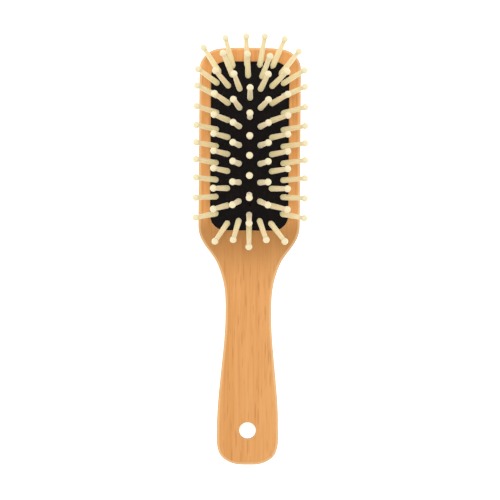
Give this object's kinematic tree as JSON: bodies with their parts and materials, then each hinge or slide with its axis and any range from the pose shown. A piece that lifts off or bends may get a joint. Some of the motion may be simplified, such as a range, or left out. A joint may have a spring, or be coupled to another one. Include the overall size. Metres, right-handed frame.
{
  "type": "paddle brush",
  "caption": "Wooden paddle hairbrush with a rectangular head, a domed black rubber air cushion, splayed ball-tipped wooden pins and a flat handle with a hang hole.",
  "frame": {"origin": "on the flat back of the wooden body, straight under the middle of the cushion; the brush lies on its back with the pins up", "axes": "+Z out of the face, the way the pins point; +Y along the brush towards the end of the head; X across it"},
  "size_m": [0.0608, 0.2271, 0.0427],
  "materials": {
    "wood": "satin, sanded light hardwood with fine straight grain along the brush",
    "pin_wood": "satin, pale turned hardwood",
    "rubber": "matte black"
  },
  "bodies": {
    "brush": {"brush_body": "wood", "cushion": "rubber"},
    "pins_level_1": {"pin_outer_left_1": "pin_wood", "pin_outer_left_9": "pin_wood", "pin_outer_right_1": "pin_wood", "pin_outer_right_9": "pin_wood", "pin_top_1": "pin_wood", "pin_top_2": "pin_wood", "pin_top_3": "pin_wood", "pin_top_4": "pin_wood", "pin_top_5": "pin_wood", "pin_top_6": "pin_wood"},
    "pins_level_2": {"pin_centre_8": "pin_wood", "pin_middle_left_9": "pin_wood", "pin_middle_right_9": "pin_wood", "pin_outer_left_2": "pin_wood", "pin_outer_left_3": "pin_wood", "pin_outer_left_4": "pin_wood", "pin_outer_left_5": "pin_wood", "pin_outer_left_6": "pin_wood", "pin_outer_left_7": "pin_wood", "pin_outer_left_8": "pin_wood", "pin_outer_right_2": "pin_wood", "pin_outer_right_3": "pin_wood", "pin_outer_right_4": "pin_wood", "pin_outer_right_5": "pin_wood", "pin_outer_right_6": "pin_wood", "pin_outer_right_7": "pin_wood", "pin_outer_right_8": "pin_wood"},
    "pins_level_3": {"pin_inner_left_8": "pin_wood", "pin_inner_right_8": "pin_wood"},
    "pins_level_4": {"pin_centre_7": "pin_wood", "pin_middle_left_1": "pin_wood", "pin_middle_left_8": "pin_wood", "pin_middle_right_1": "pin_wood", "pin_middle_right_8": "pin_wood"},
    "pins_level_5": {"pin_middle_left_2": "pin_wood", "pin_middle_left_3": "pin_wood", "pin_middle_left_4": "pin_wood", "pin_middle_left_5": "pin_wood", "pin_middle_left_6": "pin_wood", "pin_middle_left_7": "pin_wood", "pin_middle_right_2": "pin_wood", "pin_middle_right_3": "pin_wood", "pin_middle_right_4": "pin_wood", "pin_middle_right_5": "pin_wood", "pin_middle_right_6": "pin_wood", "pin_middle_right_7": "pin_wood"},
    "pins_level_6": {"pin_inner_left_1": "pin_wood", "pin_inner_right_1": "pin_wood"},
    "pins_level_7": {"pin_centre_1": "pin_wood", "pin_centre_2": "pin_wood", "pin_centre_3": "pin_wood", "pin_centre_4": "pin_wood", "pin_centre_5": "pin_wood", "pin_centre_6": "pin_wood", "pin_inner_left_3": "pin_wood", "pin_inner_left_6": "pin_wood", "pin_inner_right_3": "pin_wood", "pin_inner_right_6": "pin_wood"}
  },
  "joints": [
    {"name": "crown_press", "type": "slide", "parent": "brush", "child": "pins_level_7", "axis": [0, 0, -1], "range_m": [0, 0.005], "stiffness_N_per_m": 2500, "deforming": ["cushion"]},
    {"name": "level_1_press", "type": "slide", "parent": "brush", "child": "pins_level_1", "axis": [0, 0, -1], "range_m": [0, 0.00104]},
    {"name": "level_2_press", "type": "slide", "parent": "brush", "child": "pins_level_2", "axis": [0, 0, -1], "range_m": [0, 0.00166]},
    {"name": "level_3_press", "type": "slide", "parent": "brush", "child": "pins_level_3", "axis": [0, 0, -1], "range_m": [0, 0.00228]},
    {"name": "level_4_press", "type": "slide", "parent": "brush", "child": "pins_level_4", "axis": [0, 0, -1], "range_m": [0, 0.00321]},
    {"name": "level_5_press", "type": "slide", "parent": "brush", "child": "pins_level_5", "axis": [0, 0, -1], "range_m": [0, 0.00377]},
    {"name": "level_6_press", "type": "slide", "parent": "brush", "child": "pins_level_6", "axis": [0, 0, -1], "range_m": [0, 0.00439]}
  ],
  "couplings": [
    {"joint": "level_1_press", "follows": "crown_press", "ratio": 0.2062},
    {"joint": "level_2_press", "follows": "crown_press", "ratio": 0.3299},
    {"joint": "level_3_press", "follows": "crown_press", "ratio": 0.4536},
    {"joint": "level_4_press", "follows": "crown_press", "ratio": 0.6392},
    {"joint": "level_5_press", "follows": "crown_press", "ratio": 0.7526},
    {"joint": "level_6_press", "follows": "crown_press", "ratio": 0.8763}
  ]
}
